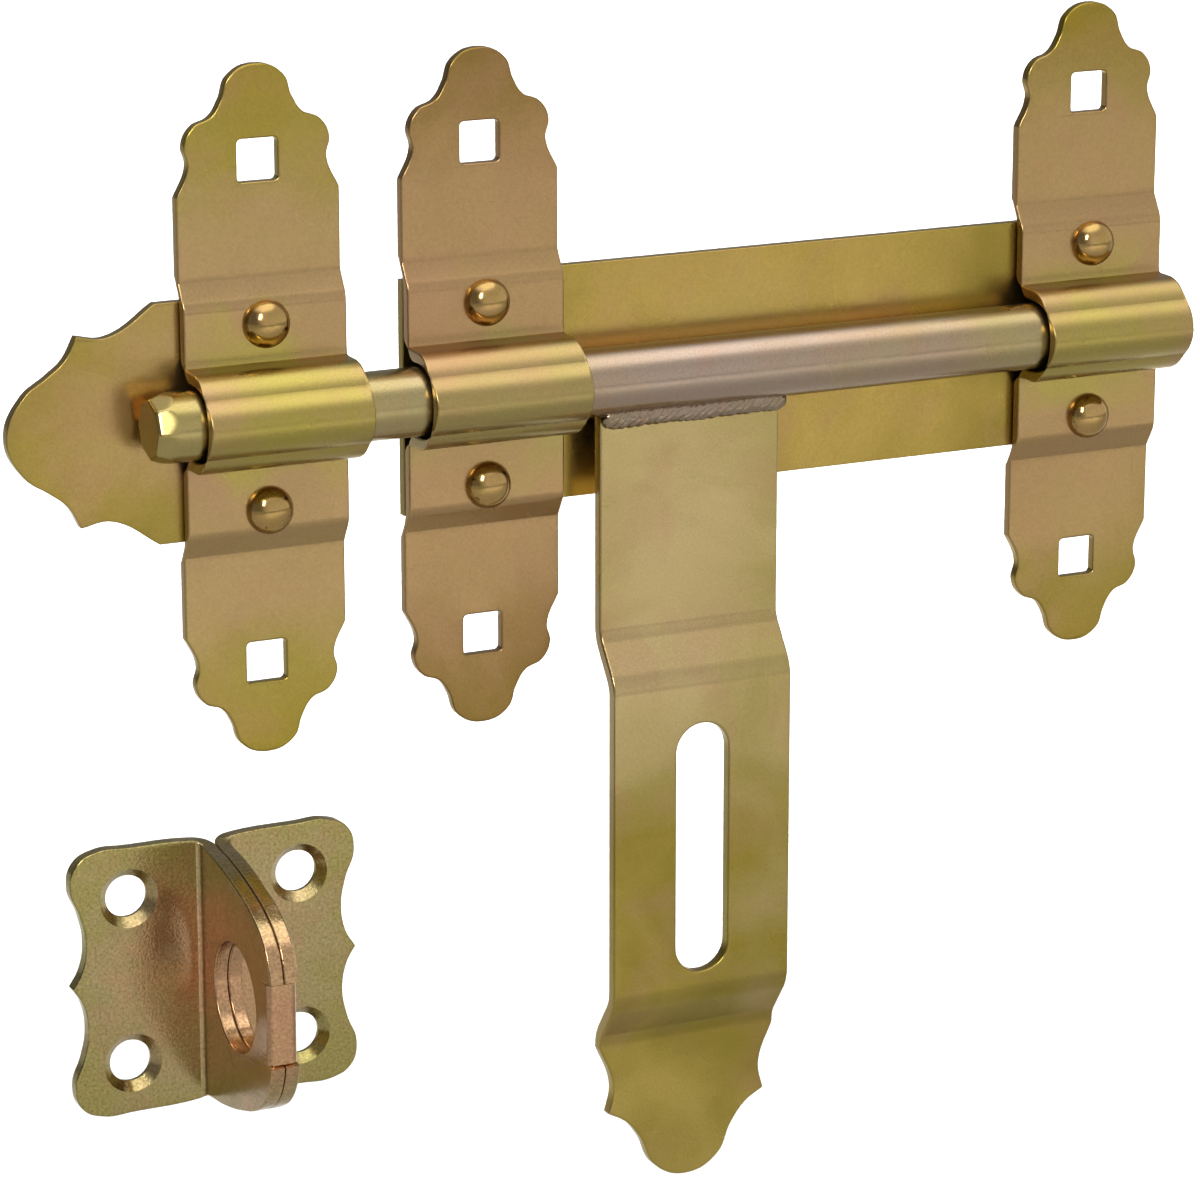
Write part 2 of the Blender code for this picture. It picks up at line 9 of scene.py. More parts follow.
import bmesh
import bpy
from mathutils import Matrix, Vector


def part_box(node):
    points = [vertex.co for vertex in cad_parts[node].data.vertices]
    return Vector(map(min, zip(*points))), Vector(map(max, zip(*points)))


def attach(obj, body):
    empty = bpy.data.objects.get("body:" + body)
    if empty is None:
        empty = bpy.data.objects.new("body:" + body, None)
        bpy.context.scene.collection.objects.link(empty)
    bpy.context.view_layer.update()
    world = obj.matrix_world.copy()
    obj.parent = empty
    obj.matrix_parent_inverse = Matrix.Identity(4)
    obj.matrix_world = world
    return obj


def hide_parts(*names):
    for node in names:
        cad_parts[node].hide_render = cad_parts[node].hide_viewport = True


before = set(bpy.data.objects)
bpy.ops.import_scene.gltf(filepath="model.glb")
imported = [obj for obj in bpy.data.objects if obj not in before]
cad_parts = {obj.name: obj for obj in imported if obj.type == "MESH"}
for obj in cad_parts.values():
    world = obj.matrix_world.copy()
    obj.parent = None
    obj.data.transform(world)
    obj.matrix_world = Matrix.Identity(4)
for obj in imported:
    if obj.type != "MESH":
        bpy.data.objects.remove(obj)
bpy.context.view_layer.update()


# --- Base plate -------------------------------------------------------------------------
# A plain rectangle of 2.5 mm sheet steel, sheared, with its burrs rolled off, and zinc plated.
# Yellow passivation leaves a satin skin that drifts between tan, olive and a faint mauve.

MM = 0.001


def linear(hex_colour):
    """An sRGB hex colour as linear red, green, blue and alpha."""
    channels = [int(hex_colour[place:place + 2], 16) / 255 for place in (1, 3, 5)]
    return [c / 12.92 if c <= 0.04045 else ((c + 0.055) / 1.055) ** 2.4 for c in channels] + [1.0]


def add_node(tree, kind, settings=None, **links):
    """Add a node, apply its settings and link or set its inputs by name."""
    node = tree.nodes.new(kind)
    for name, value in (settings or {}).items():
        setattr(node, name, value)
    for name, value in links.items():
        socket = node.inputs[int(name[1:])] if name[0] == "i" and name[1:].isdigit() else \
            node.inputs[name.replace("_", " ")]
        if isinstance(value, bpy.types.NodeSocket):
            tree.links.new(value, socket)
        else:
            socket.default_value = value
    return node


def fill_ramp(node, stops):
    """Set a colour ramp's stops from (position, hex colour) pairs."""
    ramp = node.color_ramp
    while len(ramp.elements) > 1:
        ramp.elements.remove(ramp.elements[-1])
    ramp.elements[0].position, ramp.elements[0].color = stops[0][0], linear(stops[0][1])
    for position, colour in stops[1:]:
        ramp.elements.new(position).color = linear(colour)


def passivated_zinc(name, centre, half, tints, roughness=0.27, drift=30, grain=0.45,
                    sparkle=0.09, cloud=1.1, speckled=0.10):
    """Yellow-passivated zinc on the sheet steel of a piece with this centre and half size.

    The passivation is thicker where the bath drains, so its tint runs from the middle (first
    tint) to the ends and edges (last tint). Clouds `drift` mm across and `cloud` strong break
    it up, and thinner spots blush rose. Etched crystals show as a grain, drawn at `grain` mm so
    that it reads at all: `speckled` is its share of the colour and `sparkle` of the relief.
    """
    blush, blushed = "#ae8068", 0.22
    material = bpy.data.materials.new(name)
    material.use_nodes = True
    tree = material.node_tree
    shader = tree.nodes["Principled BSDF"]
    place = add_node(tree, "ShaderNodeTexCoord").outputs["Object"]
    local = add_node(tree, "ShaderNodeMapping", {"vector_type": "TEXTURE"}, Vector=place,
                     Location=centre, Scale=half).outputs["Vector"]
    far = add_node(tree, "ShaderNodeVectorMath", {"operation": "LENGTH"}, i0=local)
    clouds = add_node(tree, "ShaderNodeTexNoise", None, Vector=place, Scale=1 / (drift * MM),
                      Detail=3.0, Roughness=0.55, Distortion=0.6)
    spread = add_node(tree, "ShaderNodeMath", {"operation": "MULTIPLY_ADD"},
                      i0=clouds.outputs["Fac"], i1=cloud, i2=-cloud / 2)
    depth = add_node(tree, "ShaderNodeMath", {"operation": "ADD"}, i0=far.outputs["Value"],
                     i1=spread.outputs["Value"])
    tint = add_node(tree, "ShaderNodeValToRGB", None, Fac=depth.outputs["Value"])
    fill_ramp(tint, tints)
    thin = add_node(tree, "ShaderNodeTexNoise", None, Vector=place, Detail=2.0,
                    Scale=1 / (drift * 0.55 * MM), Distortion=0.8, Roughness=0.5)
    spots = add_node(tree, "ShaderNodeMapRange", None, Value=thin.outputs["Fac"], From_Min=0.48,
                     From_Max=0.68, To_Min=0.0, To_Max=blushed)
    blushing = add_node(tree, "ShaderNodeMix", {"data_type": "RGBA"},
                        Factor=spots.outputs["Result"], i6=tint.outputs["Color"],
                        i7=linear(blush))
    etched = add_node(tree, "ShaderNodeTexNoise", None, Vector=place, Scale=1 / (grain * MM),
                      Detail=2.0, Roughness=0.6)
    speckle = add_node(tree, "ShaderNodeMapRange", None, Value=etched.outputs["Fac"],
                       From_Min=0.25, From_Max=0.75, To_Min=1 - speckled, To_Max=1 + speckled)
    skin = add_node(tree, "ShaderNodeVectorMath", {"operation": "SCALE"},
                    i0=blushing.outputs[2], Scale=speckle.outputs["Result"])
    tree.links.new(skin.outputs["Vector"], shader.inputs["Base Color"])
    dull = add_node(tree, "ShaderNodeMapRange", None, Value=clouds.outputs["Fac"],
                    From_Min=0.3, From_Max=0.7, To_Min=roughness - 0.05, To_Max=roughness + 0.06)
    tree.links.new(dull.outputs["Result"], shader.inputs["Roughness"])
    rolled = add_node(tree, "ShaderNodeTexNoise", None, Vector=place, Scale=1 / (14 * MM),
                      Detail=0.0)
    height = add_node(tree, "ShaderNodeMath", {"operation": "MULTIPLY_ADD"},
                      i0=etched.outputs["Fac"], i1=sparkle, i2=rolled.outputs["Fac"])
    bump = add_node(tree, "ShaderNodeBump", None, Height=height.outputs["Value"],
                    Strength=0.30, Distance=0.12 * MM)
    tree.links.new(bump.outputs["Normal"], shader.inputs["Normal"])
    shader.inputs["Metallic"].default_value = 1.0
    return material


def blank(outline, holes, thickness, edge):
    """A punched sheet blank with rounded edges, flat in x and y, as a bmesh.

    Outline knots are (x, y, "smooth" or "sharp"), and a hole is a list of (x, y) points.
    """
    drawing = bpy.data.curves.new("blank", "CURVE")
    drawing.dimensions = "2D"
    drawing.fill_mode = "BOTH"
    drawing.resolution_u = 10
    drawing.extrude = thickness / 2 - edge
    drawing.bevel_depth = edge
    drawing.bevel_resolution = 3
    drawing.offset = -edge
    for knots in [outline] + [[(x, y, "sharp") for x, y in hole] for hole in holes]:
        spline = drawing.splines.new("BEZIER")
        spline.use_cyclic_u = True
        spline.bezier_points.add(len(knots) - 1)
        for point, (x, y, kind) in zip(spline.bezier_points, knots):
            point.co = (x, y, 0)
            handle = "AUTO" if kind == "smooth" else "VECTOR"
            point.handle_left_type = point.handle_right_type = handle
    curve = bpy.data.objects.new("blank", drawing)
    bpy.context.scene.collection.objects.link(curve)
    evaluated = curve.evaluated_get(bpy.context.evaluated_depsgraph_get())
    flat = bpy.data.meshes.new_from_object(evaluated)
    bpy.data.objects.remove(curve)
    shape = bmesh.new()
    shape.from_mesh(flat)
    bpy.data.meshes.remove(flat)
    bmesh.ops.remove_doubles(shape, verts=shape.verts, dist=0.000001)
    return shape


def finish_piece(name, shape, material, body, nodes):
    """Turn a bmesh into a shaded piece that rides on a body and stands for its nodes."""
    bmesh.ops.recalc_face_normals(shape, faces=shape.faces)
    mesh = bpy.data.meshes.new(name)
    shape.to_mesh(mesh)
    shape.free()
    mesh.shade_smooth()
    mesh.set_sharp_from_angle(angle=math.radians(42))
    mesh.materials.clear()
    mesh.materials.append(material)
    piece = bpy.data.objects.new(name, mesh)
    bpy.context.scene.collection.objects.link(piece)
    even = piece.modifiers.new("even shading", "WEIGHTED_NORMAL")
    even.keep_sharp = True
    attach(piece, body)
    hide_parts(*nodes)
    return piece


def stand_up(shape, centre_x, centre_y, centre_z=0.0):
    """Turn a flat blank's x and y into x and z, with its upper face to the front."""
    for vert in shape.verts:
        x, y, z = vert.co
        vert.co = (centre_x + x, centre_y - z, centre_z + y)


def ring(x, y, radius, count=48):
    """Points around a round hole."""
    turns = [math.tau * step / count for step in range(count)]
    return [(x + radius * math.cos(t), y + radius * math.sin(t)) for t in turns]


plate_low, plate_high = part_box("base_plate")
plate_sheet = plate_high.y - plate_low.y
plate_middle_y = (plate_high.y + plate_low.y) / 2
plate_half = (plate_high - plate_low) / 2

plate_edge = 0.30 * MM

base_outline = [(-plate_half.x, plate_half.z, "sharp"), (plate_half.x, plate_half.z, "sharp"),
                (plate_half.x, -plate_half.z, "sharp"), (-plate_half.x, -plate_half.z, "sharp")]
base = blank(base_outline, [], plate_sheet, plate_edge)
stand_up(base, 0, plate_middle_y)
base_skin = passivated_zinc("yellow_passivated_zinc_base_plate", (-0.01, 0, 0),
                            (0.075, 1, 0.05), ((0.0, "#ac9356"), (0.33, "#b0954f"),
                                               (0.67, "#ab9149"), (1.0, "#94803a")))
finish_piece("base_plate_finished", base, base_skin, "mounting", ["base_plate"])


# --- Keeper plate -----------------------------------------------------------------------
# The same sheet as the base plate, blanked to a bow-sided nose between two small horns.
# Its outline drains to the nose, where the passivation is greener.

keeper_low, keeper_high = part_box("keeper_plate")
nose_length = 0.0311
shoulder_x = keeper_low.x + nose_length
nose_half = keeper_high.z
# (share of the half height, share of the nose's length, kind), from its tip to its shoulder
NOSE = [(0.00, 1.00, "smooth"), (0.33, 0.885, "smooth"), (0.48, 0.724, "smooth"),
        (0.60, 0.608, "smooth"), (0.79, 0.524, "sharp"), (0.76, 0.325, "smooth"),
        (1.00, 0.00, "sharp")]
nose_upper = [(shoulder_x - along * nose_length, across * nose_half, kind)
              for across, along, kind in NOSE]
nose_lower = [(x, -z, kind) for x, z, kind in reversed(nose_upper) if z]
keeper_corners = [(keeper_high.x, nose_half, "sharp"), (keeper_high.x, -nose_half, "sharp")]
keeper = blank(nose_upper + keeper_corners + nose_lower, [], plate_sheet, plate_edge)
stand_up(keeper, 0, plate_middle_y)
keeper_skin = passivated_zinc("yellow_passivated_zinc_keeper_plate", (-0.130, 0, 0),
                              (0.05, 1, 0.04), ((0.0, "#b29266"), (0.33, "#aa8e5a"),
                                                (0.67, "#9c8742"), (1.0, "#857436")))
finish_piece("keeper_plate_finished", keeper, keeper_skin, "mounting", ["keeper_plate"])


# --- Straps -----------------------------------------------------------------------------
# Three alike: a 2.5 mm strip blanked with ornamental ends and square holes for coach bolts,
# then pressed so that its middle bridges the bar and lies on the plate. Rivets hold it.

def bend_along(steps, distance, start, heading):
    """Follow a press line for a distance, to how far forward and along it is, and its heading.

    Steps are ("flat", length) or ("bend", degrees, radius).
    """
    forward, along = start
    for step in steps:
        if step[0] == "flat":
            run = min(distance, step[1])
            forward += run * math.cos(heading)
            along += run * math.sin(heading)
        else:
            turn = math.radians(step[1])
            length = abs(turn) * step[2]
            run = min(distance, length)
            part = turn * run / length
            side = math.copysign(step[2], turn)
            forward += side * (math.sin(heading + part) - math.sin(heading))
            along += side * (math.cos(heading) - math.cos(heading + part))
            heading += part
        distance -= run
        if distance <= 0:
            break
    return forward, along, heading


def press_length(steps):
    """Length of a press line."""
    return sum(s[1] if s[0] == "flat" else math.radians(abs(s[1])) * s[2] for s in steps)


def score(shape, places, axis=1):
    """Cut a flat blank across at each place, so that it can bend there."""
    normal = (axis == 0, axis == 1, 0)
    for place in places:
        point = tuple(place if side else 0 for side in normal)
        everything = shape.verts[:] + shape.edges[:] + shape.faces[:]
        bmesh.ops.bisect_plane(shape, geom=everything, dist=1e-7, plane_co=point,
                               plane_no=normal)


def bend_places(steps, degrees=6):
    """Distances along a press line at which its bends need cuts."""
    places, total = [], 0.0
    for step in steps:
        if step[0] == "flat":
            total += step[1]
        else:
            length = math.radians(abs(step[1])) * step[2]
            count = max(2, round(abs(step[1]) / degrees))
            places += [total + length * index / count for index in range(count + 1)]
            total += length
    return places


bar_low, bar_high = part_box("bolt_bar")
bar_radius = (bar_high.z - bar_low.z) / 2
bar_y = (bar_high.y + bar_low.y) / 2
bar_z = (bar_high.z + bar_low.z) / 2
strap_low, strap_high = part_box("front_strap")
strap_sheet = 2.5 * MM
strap_half = (strap_high.x - strap_low.x) / 2
strap_end_height = 25.5 * MM
square_hole = 8.5 * MM
square_drop = 19.0 * MM                              # from the strap's tip to the hole's centre
bridge_radius = bar_y - strap_low.y - strap_sheet / 2  # middle of the sheet over the bar
foot_radius = 3.25 * MM
raised_y = plate_low.y - 0.3 * MM - strap_sheet / 2    # middle of the sheet on the plate
flat_y = -strap_sheet / 2                              # and where it lies on the door
ramp_top_z = plate_high.z - 0.55 * MM
crease_radius = 1.7 * MM
brow_radius = 7.0 * MM
ramp_angle = 30.0
strap_edge = 0.50 * MM


def half_strap(bridge_z):
    """Press line from the crest of the bridge to the strap's tip, bridge_z off its middle."""
    rise = flat_y - raised_y
    curved = (crease_radius + brow_radius) * (1 - math.cos(math.radians(ramp_angle)))
    ramp = (rise - curved) / math.sin(math.radians(ramp_angle))
    side = (raised_y - foot_radius) - bar_y
    foot_z = bridge_z + bridge_radius + foot_radius
    brow = brow_radius * math.tan(math.radians(ramp_angle / 2))
    raised = ramp_top_z - brow - foot_z
    line = [("bend", 90, bridge_radius), ("flat", side), ("bend", -90, foot_radius),
            ("flat", raised), ("bend", ramp_angle, brow_radius), ("flat", ramp),
            ("bend", -ramp_angle, crease_radius)]
    reached = bend_along(line, press_length(line), (0, 0), math.pi / 2)
    return line + [("flat", strap_high.z - bridge_z - reached[1])]


# (share of the half width, share of the end's height, kind), from the tip to the shoulder
STRAP_END = [(0.00, 1.00, "smooth"), (0.33, 0.91, "smooth"), (0.44, 0.73, "smooth"),
             (0.56, 0.61, "smooth"), (0.78, 0.54, "smooth"), (0.89, 0.40, "smooth"),
             (0.85, 0.24, "smooth"), (1.00, 0.00, "sharp")]


def square(middle):
    """Points around a punched square hole, whose corners are worn round."""
    half, corner = square_hole / 2, 0.9 * MM
    reach = (half - corner) * math.sqrt(2)
    points = []
    for quarter in range(4):
        middle_turn = math.pi / 2 * (quarter + 0.5)
        for step in range(5):
            turn = math.pi / 2 * (quarter + step / 4)
            points.append((reach * math.cos(middle_turn) + corner * math.cos(turn),
                           middle + reach * math.sin(middle_turn) + corner * math.sin(turn)))
    return points


def strap(name, node, material):
    """Blank, score and press one strap over the bar."""
    low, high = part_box(node)
    centre_x = (low.x + high.x) / 2
    upper, lower = half_strap(bar_z), half_strap(-bar_z)
    top, bottom = press_length(upper), press_length(lower)
    right = [(across * strap_half, top - (1 - along) * strap_end_height, kind)
             for across, along, kind in STRAP_END]
    right += [(across * strap_half, (1 - along) * strap_end_height - bottom, kind)
              for across, along, kind in reversed(STRAP_END)]
    left = [(-x, y, kind) for x, y, kind in reversed(right) if x]
    squares = [square(middle) for middle in (top - square_drop, square_drop - bottom)]
    shape = blank(right + left, squares, strap_sheet, strap_edge)
    score(shape, bend_places(upper) + [-place for place in bend_places(lower)])
    crest_y = bar_y - bridge_radius
    for vert in shape.verts:
        x, along, out = vert.co
        steps, way = (upper, 1) if along >= 0 else (lower, -1)
        back, rise, heading = bend_along(steps, abs(along), (0, 0), math.pi / 2)
        vert.co = (centre_x + x, crest_y - back - out * math.sin(heading),
                   bar_z + way * (rise + out * math.cos(heading)))
    finish_piece(name, shape, material, "mounting", [node])


# (distance from the strap's middle as a share of its half length, colour)
STRAP_TINTS = {
    "keeper": ((0.0, "#a4954a"), (0.14, "#a4944e"), (0.26, "#ab8d62"), (0.52, "#aa9060"),
               (0.74, "#a18e46"), (1.0, "#9f8a38")),
    "front": ((0.0, "#a0915a"), (0.14, "#a18f58"), (0.26, "#ab8b60"), (0.60, "#a98a5e"),
              (0.80, "#97794a"), (1.0, "#8a7034")),
    "rear": ((0.0, "#a4954e"), (0.14, "#a49350"), (0.26, "#aa8c60"), (0.56, "#a98d5c"),
             (0.78, "#9c8746"), (1.0, "#967f2c"))}
for side, tints in STRAP_TINTS.items():
    strap_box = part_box(side + "_strap")
    middle_x = (strap_box[0].x + strap_box[1].x) / 2
    strap_skin = passivated_zinc(f"yellow_passivated_zinc_{side}_strap", (middle_x, 0, 0),
                                 (0.12, 1, 0.072), tints, cloud=0.55)
    strap(side + "_strap_finished", side + "_strap", strap_skin)


# --- Rivets -----------------------------------------------------------------------------
# Six steel rivets with domed heads, cold formed through strap and plate. Plating stays
# bright on their smooth heads, and their tails are spread flush with the plate's back.

RIVET_NODES = [f"{side}_rivet_{level}" for side in ("keeper", "front", "rear")
               for level in ("upper", "lower")]
RIVET_PROUD = 0.00002                    # how far a tail stands past the plate's back


def rivet_tree():
    """Geometry nodes: a domed head, a shank and a flush tail at each point of the mesh."""
    tree = bpy.data.node_groups.new("rivets", "GeometryNodeTree")
    sockets = tree.interface
    sockets.new_socket("Centres", in_out="INPUT", socket_type="NodeSocketGeometry")
    for name, value in (("Head Radius", 4.9 * MM), ("Head Height", 3.9 * MM),
                        ("Seat", 5.32 * MM), ("Tail Radius", 3.7 * MM)):
        sockets.new_socket(name, in_out="INPUT",
                           socket_type="NodeSocketFloat").default_value = value
    sockets.new_socket("Finish", in_out="INPUT", socket_type="NodeSocketMaterial")
    sockets.new_socket("Rivets", in_out="OUTPUT", socket_type="NodeSocketGeometry")
    given = add_node(tree, "NodeGroupInput").outputs
    ball = add_node(tree, "GeometryNodeMeshUVSphere", None, Segments=64, Rings=40,
                    Radius=given["Head Radius"]).outputs["Mesh"]
    place = add_node(tree, "GeometryNodeInputPosition").outputs["Position"]
    parts = add_node(tree, "ShaderNodeSeparateXYZ", None, Vector=place).outputs
    slope = add_node(tree, "ShaderNodeMath", {"operation": "DIVIDE"}, i0=given["Head Height"],
                     i1=given["Head Radius"]).outputs["Value"]
    above = add_node(tree, "ShaderNodeMath", {"operation": "GREATER_THAN"}, i0=parts["Z"], i1=0.0)
    squash = add_node(tree, "ShaderNodeMix", None, Factor=above.outputs["Value"], A=0.06,
                      B=slope).outputs["Result"]
    domed = add_node(tree, "ShaderNodeMath", {"operation": "MULTIPLY"}, i0=parts["Z"], i1=squash)
    lifted = add_node(tree, "ShaderNodeMath", {"operation": "ADD"}, i0=domed.outputs["Value"],
                      i1=given["Seat"])
    dome_place = add_node(tree, "ShaderNodeCombineXYZ", None, X=parts["X"], Y=parts["Y"],
                          Z=lifted.outputs["Value"]).outputs["Vector"]
    head = add_node(tree, "GeometryNodeSetPosition", None, Geometry=ball,
                    Position=dome_place).outputs["Geometry"]
    stem = add_node(tree, "GeometryNodeMeshCylinder", None, Vertices=48,
                    Radius=given["Tail Radius"], Depth=given["Seat"]).outputs["Mesh"]
    half = add_node(tree, "ShaderNodeMath", {"operation": "MULTIPLY"}, i0=given["Seat"], i1=0.5)
    up = add_node(tree, "ShaderNodeCombineXYZ", None, Z=half.outputs["Value"]).outputs["Vector"]
    shank = add_node(tree, "GeometryNodeSetPosition", None, Geometry=stem,
                     Offset=up).outputs["Geometry"]
    both = add_node(tree, "GeometryNodeJoinGeometry")
    for part in (head, shank):
        tree.links.new(part, both.inputs["Geometry"])
    laid = add_node(tree, "GeometryNodeInstanceOnPoints", None, Points=given["Centres"],
                    Instance=both.outputs["Geometry"],
                    Rotation=(math.pi / 2, 0, 0)).outputs["Instances"]
    real = add_node(tree, "GeometryNodeRealizeInstances", None, Geometry=laid).outputs["Geometry"]
    smooth = add_node(tree, "GeometryNodeSetShadeSmooth", None, Geometry=real)
    done = add_node(tree, "GeometryNodeSetMaterial", None,
                    Geometry=smooth.outputs["Geometry"], Material=given["Finish"])
    add_node(tree, "NodeGroupOutput", None, Rivets=done.outputs["Geometry"])
    return tree


def grow(name, points, tree, settings):
    """Run a geometry-nodes tree on bare points and keep its result as a plain bmesh."""
    seed_mesh = bpy.data.meshes.new(name)
    seed_mesh.from_pydata(points, [], [])
    seed = bpy.data.objects.new(name, seed_mesh)
    bpy.context.scene.collection.objects.link(seed)
    step = seed.modifiers.new(name, "NODES")
    step.node_group = tree
    for item in tree.interface.items_tree:
        if item.item_type == "SOCKET" and item.in_out == "INPUT" and item.name in settings:
            step[item.identifier] = settings[item.name]
    evaluated = seed.evaluated_get(bpy.context.evaluated_depsgraph_get())
    grown = bpy.data.meshes.new_from_object(evaluated)
    bpy.data.objects.remove(seed)
    shape = bmesh.new()
    shape.from_mesh(grown)
    bpy.data.meshes.remove(grown)
    return shape


rivet_skin = passivated_zinc("bright_yellow_zinc_rivet", (0, 0, 0), (0.09, 1, 0.04),
                             ((0.0, "#bd9d6e"), (0.5, "#b69662"), (1.0, "#ab8d54")),
                             roughness=0.13, drift=6, grain=0.6)
rivet_centres = []
for node in RIVET_NODES:
    low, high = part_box(node)
    rivet_centres.append(((low.x + high.x) / 2, RIVET_PROUD, (low.z + high.z) / 2))
rivets = grow("rivets", rivet_centres, rivet_tree(), {"Finish": rivet_skin})
finish_piece("rivets_finished", rivets, rivet_skin, "mounting", RIVET_NODES)


# --- Bar --------------------------------------------------------------------------------
# A drawn round bar, 14 mm thick, cut to length. Its tip is hammered to eight flats that
# lead it into the keeper. Drawing leaves fine lines along it, and plating is mauve there.

def plated_drawn_bar():
    """Yellow-passivated zinc over drawn steel: streaks along x, greyer than the sheet."""
    material = passivated_zinc("yellow_passivated_zinc_drawn_bar", (-0.02, 0, 0),
                               (0.115, 1, 1), ((0.0, "#a69281"), (0.33, "#a69279"),
                                               (0.67, "#a6976a"), (1.0, "#a6965a")),
                               roughness=0.24, drift=26)
    tree = material.node_tree
    shader = tree.nodes["Principled BSDF"]
    place = add_node(tree, "ShaderNodeTexCoord").outputs["Object"]
    drawn = add_node(tree, "ShaderNodeMapping", None, Vector=place, Scale=(0.02, 1, 1))
    lines = add_node(tree, "ShaderNodeTexNoise", None, Vector=drawn.outputs["Vector"],
                     Scale=1 / (0.7 * MM), Detail=2.0)
    skin_bump = shader.inputs["Normal"].links[0].from_node
    bump = add_node(tree, "ShaderNodeBump", None, Height=lines.outputs["Fac"], Strength=0.18,
                    Distance=0.03 * MM, Normal=skin_bump.outputs["Normal"])
    tree.links.new(bump.outputs["Normal"], shader.inputs["Normal"])
    return material


def bar_shape():
    """The bar with its eight hammered flats, as a bmesh."""
    around = 96
    flats, tip_length, tip_inset = 8, 4.2 * MM, 1.5 * MM
    crisp = 9000                                     # how sharply a flat meets the round
    swell = 0.00007                                  # makes up for the round lost to that
    length = bar_high.x - bar_low.x
    edge = 0.6 * MM
    rows = [0, edge * 0.15, edge * 0.5, edge]
    rows += [edge + (tip_length * 1.6 - edge) * step / 14 for step in range(1, 15)]
    rows += [length - edge, length - edge * 0.5, length - edge * 0.15, length]
    shape = bmesh.new()
    rings = []
    for row in rows:
        end = min(row, length - row)
        rounding = edge - math.sqrt(max(0, edge ** 2 - max(0, edge - end) ** 2))
        verts = []
        for step in range(around):
            turn = math.tau * step / around
            face = math.cos((turn % (math.tau / flats)) - math.pi / flats)
            flat = bar_radius - tip_inset * (1 - row / tip_length)
            both = math.exp(-crisp * flat / face) + math.exp(-crisp * bar_radius)
            reach = min(bar_radius, swell - math.log(both) / crisp) - rounding
            verts.append(shape.verts.new((bar_low.x + row, bar_y + reach * math.cos(turn),
                                          bar_z + reach * math.sin(turn))))
        rings.append(verts)
    for near, far in zip(rings, rings[1:]):
        for step in range(around):
            follow = (step + 1) % around
            shape.faces.new((near[step], near[follow], far[follow], far[step]))
    shape.faces.new(rings[0])
    shape.faces.new(rings[-1])
    return shape


finish_piece("bolt_bar_finished", bar_shape(), plated_drawn_bar(), "bolt", ["bolt_bar"])


# --- Hasp -------------------------------------------------------------------------------
# A 3 mm strip blanked with a long slot and a bow-sided nose, joggled forward over the slot
# so that it clears the staple, and welded under the bar by its top edge.

hasp_low, hasp_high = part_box("hasp_plate")
hasp_half = (hasp_high.x - hasp_low.x) / 2
hasp_x = (hasp_high.x + hasp_low.x) / 2
hasp_sheet = 3.0 * MM
hasp_step = (hasp_high.y - hasp_low.y) - hasp_sheet
joggle_height = 9.3 * MM
joggle_top = bar_z - 53.8 * MM
slot_width, slot_length = 12.1 * MM, 54.5 * MM
slot_drop = 9.7 * MM                                # from the joggle to the slot
slot_foot = 4.8 * MM                                # from the slot to the lower joggle
nose_height = 31.5 * MM
joggle_bend = 7.0 * MM
hasp_edge = 0.55 * MM


def joggle(forward):
    """Two opposite bends that step the sheet by hasp_step over joggle_height."""
    tilt = math.atan2(hasp_step, joggle_height)
    degrees = math.degrees(tilt) * (1 if forward else -1)
    lost = joggle_bend * math.tan(tilt / 2)
    straight = math.hypot(hasp_step, joggle_height) - 2 * lost
    return [("bend", degrees, joggle_bend), ("flat", straight), ("bend", -degrees, joggle_bend)]


tilt_loss = joggle_bend * math.tan(math.atan2(hasp_step, joggle_height) / 2)
raised_length = slot_drop + slot_length + slot_foot
hasp_line = [("flat", hasp_high.z - joggle_top - tilt_loss)] + joggle(True)
hasp_line += [("flat", raised_length - 2 * tilt_loss)] + joggle(False)
hasp_drop = bend_along(hasp_line, press_length(hasp_line), (0, 0), math.pi / 2)[1]
hasp_line += [("flat", hasp_high.z - hasp_low.z - hasp_drop)]
hasp_length = press_length(hasp_line)
# (share of the half width, share of the nose's height, kind), from the tip to the shoulder
HASP_NOSE = [(0.00, 1.00, "smooth"), (0.36, 0.902, "smooth"), (0.53, 0.685, "smooth"),
             (0.69, 0.555, "smooth"), (0.898, 0.473, "sharp"), (0.844, 0.286, "smooth"),
             (1.00, 0.00, "sharp")]
hasp_right = [(across * hasp_half, (hasp_length - nose_height) + along * nose_height, kind)
              for across, along, kind in HASP_NOSE] + [(hasp_half, 0, "sharp")]
hasp_left = [(-x, along, kind) for x, along, kind in reversed(hasp_right) if x]
before_slot = press_length(hasp_line[:4]) - tilt_loss + slot_drop
slot_radius = slot_width / 2
slot_ends = ((before_slot + slot_radius, math.pi),
             (before_slot + slot_length - slot_radius, 0))
slot = [(slot_radius * math.cos(start + math.pi * step / 24),
         along + slot_radius * math.sin(start + math.pi * step / 24))
        for along, start in slot_ends for step in range(25)]
hasp = blank(hasp_right + hasp_left, [slot], hasp_sheet, hasp_edge)
score(hasp, bend_places(hasp_line, 4))
for vert in hasp.verts:
    x, along, out = vert.co
    ahead, down, heading = bend_along(hasp_line, along, (0, 0), math.pi / 2)
    vert.co = (hasp_x + x, bar_y + ahead - out * math.sin(heading),
               hasp_high.z - down - out * math.cos(heading))
hasp_skin = passivated_zinc("yellow_passivated_zinc_hasp", (hasp_x, 0, -0.03),
                            (0.09, 1, 0.15), ((0.0, "#b5a070"), (0.33, "#a6945c"),
                                              (0.67, "#958338"), (1.0, "#b39c52")))
finish_piece("hasp_finished", hasp, hasp_skin, "hasp", ["hasp_plate"])


# --- Weld -------------------------------------------------------------------------------
# One run of wire weld in the corner between bar and hasp, laid left to right. Its ripples
# slant like a rope's strands, and the plating over it is grey with bright crests.

